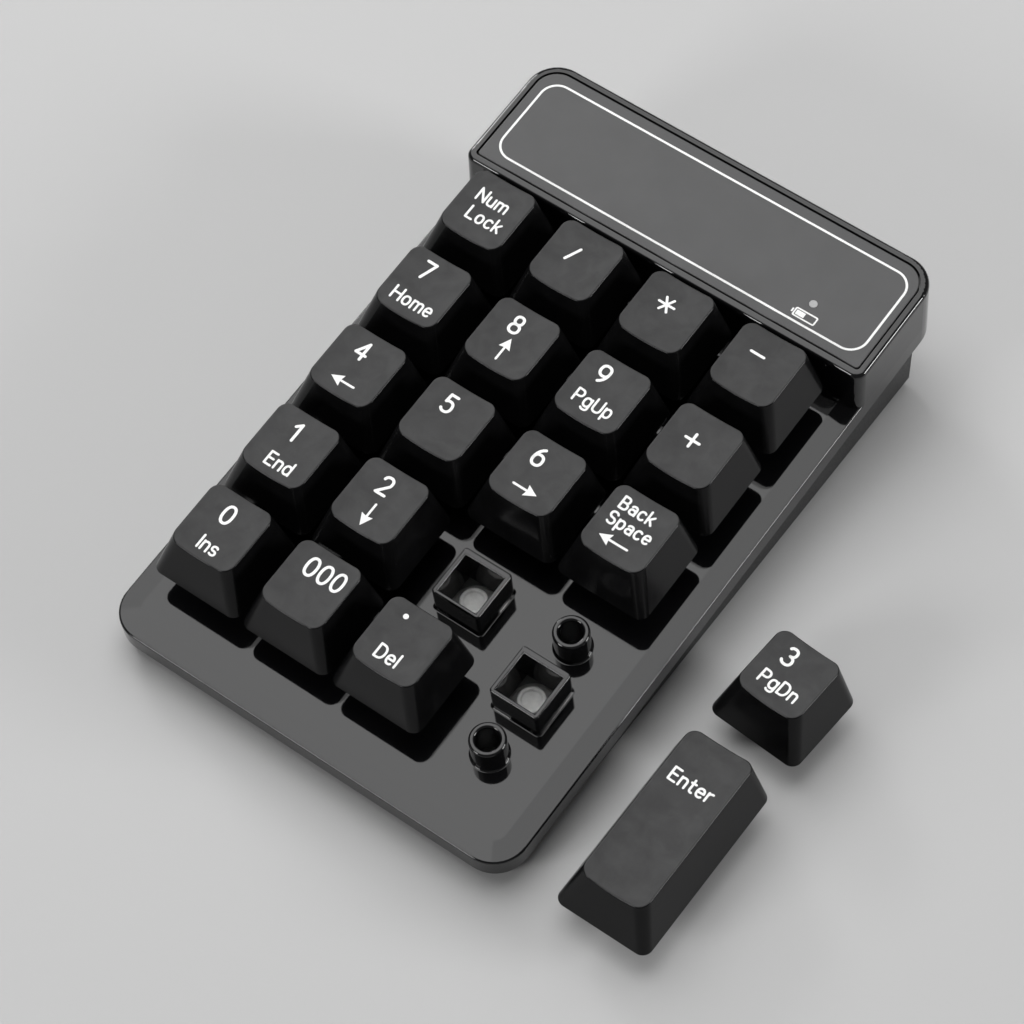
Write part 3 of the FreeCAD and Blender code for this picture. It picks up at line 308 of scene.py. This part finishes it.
def battery_sleeve():
    """Plain shrink sleeve, dark with a metallic end band."""
    surface = Surface("cell_wrap", (0.05, 0.05, 0.055), 0.3, metallic=0.3)
    split = surface.node("ShaderNodeSeparateXYZ")
    surface.link(surface.coordinates, split.inputs["Vector"])
    band = surface.spread(split.outputs["X"], 0, 1, -0.0095, -0.0093)
    surface.colour(surface.mix_colours(band, (0.045, 0.047, 0.05), (0.42, 0.36, 0.26)))
    surface.bump(surface.noise(0.003), 0.08, 0.00005)
    return surface.material


MATERIALS = {
    "keycap_plastic": keycap_material(),
    "glossy_black_plastic": piano_black(),
    "satin_panel_plastic": textured_plastic("panel_satin", (0.05, 0.05, 0.051), 0.42,
                                            grain=0.00022, vary=0.06).material,
    "matte_black_plastic": textured_plastic("matte_black", (0.016, 0.016, 0.0165), 0.5,
                                            grain=0.0004, depth=0.00003).material,
    "dome_rubber": dome_rubber(),
    "film_plastic": clear_film(),
    "sheet_steel": brushed_metal("sheet_steel", (0.55, 0.55, 0.56), 0.35),
    "board_green": board_mask(),
    "component_black": textured_plastic("component_black", (0.02, 0.02, 0.02), 0.5).material,
    "led_white": textured_plastic("led_lens", (0.8, 0.78, 0.68), 0.3, vary=0.05).material,
    "light_pipe_plastic": textured_plastic("light_pipe", (0.36, 0.36, 0.36), 0.3, vary=0.05).material,
    "cell_wrap": battery_sleeve(),
    "spring_steel": brushed_metal("nickel", (0.72, 0.7, 0.66), 0.22, stretch=(1, 1, 1)),
    "switch_plastic": textured_plastic("switch_grey", (0.28, 0.28, 0.28), 0.45).material,
    "receiver_plastic": textured_plastic("receiver_black", (0.02, 0.02, 0.02), 0.4).material,
    "screw_steel": brushed_metal("screw_black_zinc", (0.2, 0.2, 0.21), 0.35, stretch=(1, 1, 1)),
    "foot_rubber": textured_plastic("foot_rubber", (0.02, 0.02, 0.02), 0.75,
                                    grain=0.0005, depth=0.00004).material,
}
INK = printed_ink()
SLOT_OF = {s["node"]: s["material_slot"] for s in frame["record"]["subparts"]}
for node_name, node in NODES.items():
    node.data.materials.clear()
    node.data.materials.append(MATERIALS[SLOT_OF[node_name]])


# ---------------------------------------------------------------- mesh helpers

def make_piece(name, mesh, matrix, body, material):
    """A piece from a mesh given in millimetres in a local frame."""
    mesh.transform(Matrix.Diagonal((MM, MM, MM, 1)))
    mesh.transform(matrix)
    mesh.materials.clear()
    mesh.materials.append(material)
    piece = bpy.data.objects.new(name, mesh)
    bpy.context.scene.collection.objects.link(piece)
    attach(piece, body)
    return piece


def mesh_of(vertices, faces, name="shape"):
    mesh = bpy.data.meshes.new(name)
    mesh.from_pydata([tuple(v) for v in vertices], [], faces)
    return mesh


def join(meshes):
    work = bmesh.new()
    for mesh in meshes:
        work.from_mesh(mesh)
    whole = bpy.data.meshes.new("marks")
    work.to_mesh(whole)
    work.free()
    return whole


def slab(polygons, thickness=INK_THICKNESS):
    """Closed slabs from flat outlines, each a list of (x, y) in order."""
    vertices, faces = [], []
    for outline in polygons:
        first, count = len(vertices), len(outline)
        vertices += [(x, y, thickness / 2) for x, y in outline] + [(x, y, -thickness / 2) for x, y in outline]
        faces.append(list(range(first, first + count)))
        faces.append(list(range(first + 2 * count - 1, first + count - 1, -1)))
        faces += [[first + i, first + count + i, first + count + (i + 1) % count, first + (i + 1) % count]
                  for i in range(count)]
    mesh = mesh_of(vertices, faces)
    work = bmesh.new()
    work.from_mesh(mesh)
    bmesh.ops.recalc_face_normals(work, faces=work.faces)
    work.to_mesh(mesh)
    work.free()
    return mesh


# ---------------------------------------------------------------- plain lettering, drawn with a round pen

def bow(x, y, across, up, start, sweep, squareness=2.3):
    """Points along part of a slightly squared oval; angles in degrees, anticlockwise."""
    steps = max(5, round(abs(sweep) / 14))
    points = []
    for i in range(steps + 1):
        angle = math.radians(start + sweep * i / steps)
        c, s = math.cos(angle), math.sin(angle)
        points.append((x + across * math.copysign(abs(c) ** (2 / squareness), c),
                       y + up * math.copysign(abs(s) ** (2 / squareness), s)))
    return points


# Each sign's width and its pen lines, with capitals one unit high and small letters LOW high.
LOW = 0.68
GLYPHS = {
    "0": (0.54, [bow(0.27, 0.5, 0.27, 0.5, 90, 360)]),
    "1": (0.3, [[(0.0, 0.76), (0.26, 1.0), (0.26, 0.0)]]),
    "2": (0.54, [bow(0.27, 0.72, 0.25, 0.28, 165, -195) + [(0.0, 0.0), (0.54, 0.0)]]),
    "3": (0.54, [bow(0.26, 0.76, 0.23, 0.24, 150, -240), bow(0.26, 0.26, 0.27, 0.26, 90, -245)]),
    "4": (0.58, [[(0.42, 0.0), (0.42, 1.0), (0.0, 0.3), (0.58, 0.3)]]),
    "5": (0.54, [[(0.5, 1.0), (0.1, 1.0), (0.06, 0.56)] + bow(0.26, 0.32, 0.27, 0.32, 130, -275)]),
    "6": (0.54, [bow(0.27, 0.31, 0.27, 0.31, 90, 360), bow(0.5, 0.31, 0.5, 0.69, 180, -72, 2.0)]),
    "7": (0.54, [[(0.0, 1.0), (0.54, 1.0), (0.18, 0.0)]]),
    "8": (0.54, [bow(0.27, 0.76, 0.22, 0.24, 90, 360), bow(0.27, 0.26, 0.27, 0.26, 90, 360)]),
    "9": (0.54, [bow(0.27, 0.69, 0.27, 0.31, 90, 360), bow(0.04, 0.69, 0.5, 0.69, 0, -72, 2.0)]),
    "B": (0.56, [[(0.0, 0.52), (0.28, 0.52)] + bow(0.28, 0.26, 0.28, 0.26, 90, -180) + [(0.0, 0.0), (0.0, 1.0)]
                 + bow(0.26, 0.76, 0.24, 0.24, 90, -180)]),
    "D": (0.62, [[(0.0, 0.0), (0.0, 1.0)] + bow(0.22, 0.5, 0.4, 0.5, 90, -180) + [(0.0, 0.0)]]),
    "E": (0.5, [[(0.5, 1.0), (0.0, 1.0), (0.0, 0.0), (0.5, 0.0)], [(0.0, 0.52), (0.44, 0.52)]]),
    "H": (0.64, [[(0.0, 0.0), (0.0, 1.0)], [(0.64, 0.0), (0.64, 1.0)], [(0.0, 0.52), (0.64, 0.52)]]),
    "I": (0.0, [[(0.0, 0.0), (0.0, 1.0)]]),
    "L": (0.5, [[(0.0, 1.0), (0.0, 0.0), (0.5, 0.0)]]),
    "N": (0.62, [[(0.0, 0.0), (0.0, 1.0), (0.62, 0.0), (0.62, 1.0)]]),
    "P": (0.54, [[(0.0, 0.0), (0.0, 1.0)] + bow(0.26, 0.73, 0.28, 0.27, 90, -180) + [(0.0, 0.46)]]),
    "S": (0.54, [bow(0.27, 0.75, 0.26, 0.25, 25, 235)[:-1] + bow(0.27, 0.25, 0.27, 0.25, 80, -225)]),
    "U": (0.6, [[(0.0, 1.0)] + bow(0.3, 0.3, 0.3, 0.3, 180, 180) + [(0.6, 1.0)]]),
    "a": (0.46, [bow(0.22, 0.2, 0.22, 0.2, 0, 360), [(0.46, 0.0)] + bow(0.24, 0.46, 0.22, 0.22, 0, 150)]),
    "c": (0.46, [bow(0.25, LOW / 2, 0.25, LOW / 2, 45, 270)]),
    "d": (0.5, [bow(0.25, LOW / 2, 0.25, LOW / 2, 0, 360), [(0.5, 1.0), (0.5, 0.0)]]),
    "e": (0.5, [[(0.0, 0.36), (0.5, 0.36)] + bow(0.25, LOW / 2, 0.25, LOW / 2, 10, 300)]),
    "g": (0.5, [bow(0.25, LOW / 2, 0.25, LOW / 2, 0, 360),
                [(0.5, LOW)] + bow(0.25, -0.08, 0.25, 0.2, 0, -150)]),
    "k": (0.46, [[(0.0, 0.0), (0.0, 1.0)], [(0.44, LOW), (0.0, 0.26)], [(0.16, 0.4), (0.46, 0.0)]]),
    "l": (0.0, [[(0.0, 0.0), (0.0, 1.0)]]),
    "m": (0.8, [[(0.0, 0.0), (0.0, LOW)], bow(0.2, 0.46, 0.2, 0.22, 180, -180) + [(0.4, 0.0)],
                bow(0.6, 0.46, 0.2, 0.22, 180, -180) + [(0.8, 0.0)]]),
    "n": (0.46, [[(0.0, 0.0), (0.0, LOW)], bow(0.23, 0.44, 0.23, 0.24, 180, -180) + [(0.46, 0.0)]]),
    "o": (0.5, [bow(0.25, LOW / 2, 0.25, LOW / 2, 90, 360)]),
    "p": (0.5, [bow(0.25, LOW / 2, 0.25, LOW / 2, 180, 360), [(0.0, LOW), (0.0, -0.28)]]),
    "r": (0.3, [[(0.0, 0.0), (0.0, LOW)], bow(0.26, 0.4, 0.26, 0.27, 180, -100)]),
    "s": (0.42, [bow(0.21, 0.51, 0.2, 0.17, 25, 235)[:-1] + bow(0.21, 0.17, 0.21, 0.17, 80, -225)]),
    "t": (0.34, [[(0.13, 0.94)] + bow(0.3, 0.17, 0.17, 0.17, 180, 100), [(0.0, LOW), (0.34, LOW)]]),
    "u": (0.46, [[(0.0, LOW)] + bow(0.23, 0.23, 0.23, 0.23, 180, 180), [(0.46, LOW), (0.46, 0.0)]]),
}
LETTER_GAP = 0.27
SHARP_TURN = math.radians(35)
SAME_POINT = 0.01
PEN_END = [math.radians(a) for a in (12, 32, 55)]


def smooth_runs(line):
    """A pen line split at its sharp corners."""
    points = []
    for point in map(Vector, line):
        if not points or (point - points[-1]).length > SAME_POINT:
            points.append(point)
    runs, run = [], [points[0]]
    for before, here, after in zip(points, points[1:], points[2:]):
        run.append(here)
        if (here - before).angle(after - here) > SHARP_TURN:
            runs.append(run)
            run = [here]
    return runs + [run + [points[-1]]]


def pen_line(run, width, thickness=INK_THICKNESS):
    """Slab swept along a smooth run of points by a round pen."""
    ways = [(b - a).normalized() for a, b in zip(run, run[1:])]
    ways = [ways[0]] + [(a + b).normalized() for a, b in zip(ways, ways[1:])] + [ways[-1]]
    half = width / 2
    start = [(run[0] - ways[0] * half * math.cos(a), ways[0], half * math.sin(a)) for a in PEN_END]
    end = [(run[-1] + ways[-1] * half * math.cos(a), ways[-1], half * math.sin(a)) for a in reversed(PEN_END)]
    vertices, faces = [], []
    for middle, way, reach in start + [(p, w, half) for p, w in zip(run, ways)] + end:
        side = Vector((-way.y, way.x)) * reach
        for z in (thickness / 2, -thickness / 2):
            vertices += [(*(middle + side), z), (*(middle - side), z)]
    count = len(vertices) // 4
    for i in range(0, 4 * (count - 1), 4):
        faces += [[i, i + 1, i + 5, i + 4], [i + 3, i + 2, i + 6, i + 7], [i + 2, i, i + 4, i + 6],
                  [i + 1, i + 3, i + 7, i + 5]]
    last = 4 * (count - 1)
    faces += [[1, 0, 2, 3], [last, last + 1, last + 3, last + 2]]
    return mesh_of(vertices, faces)


def lettering(text, height, width):
    """Word with capitals of a height, drawn by a pen of a width, centred on its own box."""
    runs, x = [], 0.0
    for letter in text:
        advance, lines = GLYPHS[letter]
        for line in lines:
            runs += smooth_runs([((x + across) * height, up * height) for across, up in line])
        x += advance + LETTER_GAP
    xs = [point.x for run in runs for point in run]
    ys = [point.y for run in runs for point in run]
    middle = Vector(((min(xs) + max(xs)) / 2, (min(ys) + max(ys)) / 2))
    return join([pen_line([point - middle for point in run], width) for run in runs])


def turned(points, degrees):
    c, s = math.cos(math.radians(degrees)), math.sin(math.radians(degrees))
    return [Vector((x * c - y * s, x * s + y * c)) for x, y in points]


def arms(length, headings, width):
    """Lines through one middle."""
    return join([pen_line(turned([(-length / 2, 0), (length / 2, 0)], heading), width) for heading in headings])


def arrow(length, heading, width=WORD_PEN, head=2.0, spread=1.15, barb=0.25):
    """Arrow with a solid, slightly barbed head."""
    neck = length / 2 - head
    shaft = pen_line(turned([(-length / 2 + width / 2, 0), (neck + barb, 0)], heading), width)
    tip = turned([(neck - barb, -spread), (length / 2, 0), (neck - barb, spread), (neck, 0)], heading)
    return join([shaft, slab([tip])])


def disc(diameter):
    return slab([[(diameter / 2 * math.cos(a * math.pi / 12), diameter / 2 * math.sin(a * math.pi / 12))
                  for a in range(24)]])


def mark_mesh(kind, value, size):
    if kind == "digit":
        return lettering(value, size, DIGIT_PEN)
    if kind == "word":
        return lettering(value, size, WORD_PEN)
    if kind == "arrow":
        return arrow(size, value)
    if kind == "plus":
        return arms(size, (0, 90), PLUS_PEN)
    if kind == "star":
        return arms(size, (0, 60, 120), STAR_PEN)
    if kind == "line":
        return arms(size, (value,), LINE_PEN)
    return disc(size)


def lay_on_dish(mesh, x, y):
    """Move a mark to its place and bend it onto the finger dish."""
    work = bmesh.new()
    work.from_mesh(mesh)
    bmesh.ops.triangulate(work, faces=work.faces)
    for _ in range(2):
        long_edges = [e for e in work.edges if e.calc_length() > LONGEST_EDGE]
        bmesh.ops.subdivide_edges(work, edges=long_edges, cuts=1)
        bmesh.ops.triangulate(work, faces=[f for f in work.faces if len(f.verts) > 3])
    for v in work.verts:
        v.co.x += x
        v.co.y += y
        v.co.z += CAP_RISE + DISH_RADIUS - math.sqrt(DISH_RADIUS ** 2 - v.co.x ** 2) + INK_THICKNESS / 2
    work.to_mesh(mesh)
    work.free()
    return mesh


# ---------------------------------------------------------------- key legends

for key, column, row, marks in KEYS:
    meshes = [lay_on_dish(mark_mesh(kind, value, size), x, y) for kind, value, x, y, size in marks]
    make_piece("legend_" + key, join(meshes), cap_matrix(key, column, row), "key_" + key, INK)


# ---------------------------------------------------------------- rubber domes

def dome_mesh():
    """Turned profile of a dome in millimetres: its foot lies on z = 0."""
    profile = [(0.0, 1.2), (0.7, 1.2), (0.95, 1.3), (1.25, 2.5), (1.7, 2.65), (2.25, 2.6), (3.2, 0.12),
               (3.4, 0.02), (4.6, 0.02), (4.6, 0.36), (4.5, 0.44), (4.2, 0.46), (3.95, 0.55), (3.8, 0.72),
               (2.72, 2.85), (2.62, 3.05), (2.54, 3.4), (2.5, 3.66), (2.42, 3.75), (2.0, 3.75),
               (1.88, 3.7), (1.72, 3.5), (1.6, 3.45), (0.0, 3.45)]
    steps = 48
    vertices, rings = [], []
    for radius, z in profile:
        if radius == 0.0:
            rings.append([len(vertices)])
            vertices.append((0, 0, z))
            continue
        rings.append(list(range(len(vertices), len(vertices) + steps)))
        vertices += [(radius * math.cos(2 * math.pi * i / steps), radius * math.sin(2 * math.pi * i / steps), z)
                     for i in range(steps)]
    faces = []
    for a, b in zip(rings, rings[1:]):
        for i in range(steps):
            j = (i + 1) % steps
            if len(a) == 1:
                faces.append([a[0], b[i], b[j]])
            elif len(b) == 1:
                faces.append([a[i], b[0], a[j]])
            else:
                faces.append([a[i], b[i], b[j], a[j]])
    mesh = mesh_of(vertices, faces, "dome")
    work = bmesh.new()
    work.from_mesh(mesh)
    bmesh.ops.recalc_face_normals(work, faces=work.faces)
    work.to_mesh(mesh)
    work.free()
    for polygon in mesh.polygons:
        polygon.use_smooth = True
    return mesh


for key, column, row, _ in KEYS:
    if key in SOCKETS:
        column, row = SOCKETS[key]
    x, y = key_spot(column, row)
    foot = DECK @ Matrix.Translation(Vector((x, y, -FILM_TOP)) * MM)
    dome = make_piece("rubber_dome_" + key, dome_mesh(), foot, "case", MATERIALS["dome_rubber"])
    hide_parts("dome_" + key)
    if key not in SOCKETS:
        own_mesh(dome)


# ---------------------------------------------------------------- markings of the rear housing's panel

def round_rectangle(left, front, right, back, radius, inset=0.0, steps=10):
    """Outline of a rectangle with round corners, moved inwards by an inset."""
    left, front, right, back = left + inset, front + inset, right - inset, back - inset
    outline = []
    corners = ((right - radius, front + radius, 270), (right - radius, back - radius, 0),
               (left + radius, back - radius, 90), (left + radius, front + radius, 180))
    for x, y, start in corners:
        for i in range(steps + 1):
            angle = math.radians(start + 90 * i / steps)
            outline.append((x + radius * math.cos(angle), y + radius * math.sin(angle)))
    return outline


def ribbon(outer, inner, thickness=INK_THICKNESS):
    """Closed flat band between two outlines with the same number of points."""
    count = len(outer)
    high = thickness / 2
    vertices = ([(x, y, high) for x, y in outer] + [(x, y, high) for x, y in inner]
                + [(x, y, -high) for x, y in outer] + [(x, y, -high) for x, y in inner])
    faces = []
    for i in range(count):
        j = (i + 1) % count
        faces += [[i, j, count + j, count + i], [2 * count + i, 3 * count + i, 3 * count + j, 2 * count + j],
                  [i, 2 * count + i, 2 * count + j, j], [count + i, count + j, 3 * count + j, 3 * count + i]]
    return mesh_of(vertices, faces)


def panel_piece(name, meshes):
    """Ink printed on the panel's upper face."""
    place = DECK @ Matrix.Translation((0, 0, (PANEL_TOP + INK_THICKNESS / 2) * MM))
    return make_piece(name, join(meshes), place, "case", INK)


# Left, front, right and back of the printed outlines, in the deck's own millimetres.
LINE = (-37.9, 52.2, 40.2, 70.9)
LINE_WIDTH = 0.42
LINE_RADIUS = 3.6
outer = round_rectangle(*LINE, LINE_RADIUS)
inner = round_rectangle(*LINE, LINE_RADIUS - LINE_WIDTH, inset=LINE_WIDTH)
panel_piece("panel_outline", [ribbon(outer, inner)])

BATTERY = (25.9, 53.25, 30.5, 55.15)
BATTERY_WALL = 0.3
shell_out = round_rectangle(*BATTERY, 0.35, steps=4)
shell_in = round_rectangle(*BATTERY, 0.12, inset=BATTERY_WALL, steps=4)
charge = [(26.35, 53.7), (28.1, 53.7), (28.1, 54.7), (26.35, 54.7)]
nub = [(25.45, 53.8), (25.75, 53.8), (25.75, 54.6), (25.45, 54.6)]
panel_piece("battery_mark", [ribbon(shell_out, shell_in), slab([charge]), slab([nub])])


# ---------------------------------------------------------------- floor, light, camera

FLOOR_Z = -0.00005


def floor():
    """Plain pale ground, a hair below the feet."""
    size = 6.0
    mesh = mesh_of([(-size, -size, 0), (size, -size, 0), (size, size, 0), (-size, size, 0)], [[0, 1, 2, 3]])
    surface = Surface("floor", (0.52, 0.52, 0.52), 0.6, specular=0.2)
    piece = bpy.data.objects.new("floor", mesh)
    mesh.materials.append(surface.material)
    bpy.context.scene.collection.objects.link(piece)
    piece.location.z = FLOOR_Z


def soft_box(name, target, direction, distance, width, height, radiance):
    """Rectangular light that faces the target; radiance is its brightness per unit of area."""
    light = bpy.data.lights.new(name, "AREA")
    light.shape = "RECTANGLE"
    light.size, light.size_y = width, height
    light.energy = radiance * width * height * math.pi
    lamp = bpy.data.objects.new(name, light)
    away = Vector(direction).normalized()
    lamp.location = Vector(target) + away * distance
    lamp.rotation_euler = away.to_track_quat("Z", "Y").to_euler()
    bpy.context.scene.collection.objects.link(lamp)
    return lamp


def world(strength):
    room = bpy.data.worlds.new("studio")
    room.use_nodes = True
    background = room.node_tree.nodes["Background"]
    background.inputs["Color"].default_value = (1, 1, 1, 1)
    background.inputs["Strength"].default_value = strength
    bpy.context.scene.world = room


LENS = 123.44
EYE = (203.20, -252.25, 526.40)  # level millimetres from the key grid's centre


def camera():
    """Long lens in front, to the right and well above, looking down on the keypad."""
    right = Vector((0.8075, 0.5894, -0.0242)).normalized()
    back = Vector((0.3275, -0.4140, 0.8493)).normalized()
    up = back.cross(right).normalized()
    right = up.cross(back).normalized()
    lens = bpy.data.cameras.new("camera")
    lens.sensor_width = 36.0
    lens.lens = LENS
    eye = bpy.data.objects.new("camera", lens)
    spot = (Vector(EYE) - ORIGIN) * MM
    eye.matrix_world = Matrix.Translation(spot) @ Matrix((right, up, back)).transposed().to_4x4()
    bpy.context.scene.collection.objects.link(eye)
    bpy.context.scene.camera = eye


floor()
world(0.14)
CENTRE = (0.0, 0.0, 0.015)
soft_box("overhead", CENTRE, (-0.33, 0.28, 0.90), 0.95, 1.1, 1.1, 2.1)
soft_box("overhead_front", CENTRE, (-0.38, -0.08, 0.92), 0.98, 1.0, 0.5, 0.4)
soft_box("front_edge_light", CENTRE, (-0.33, -0.85, 0.41), 1.2, 0.4, 0.25, 15.0)
soft_box("right_edge_light", CENTRE, (0.85, 0.41, 0.33), 1.2, 0.4, 0.25, 22.0)
soft_box("left_edge_light", CENTRE, (-0.80, 0.41, 0.44), 1.2, 0.3, 0.2, 16.0)
camera()
bpy.context.scene.view_settings.view_transform = "Standard"
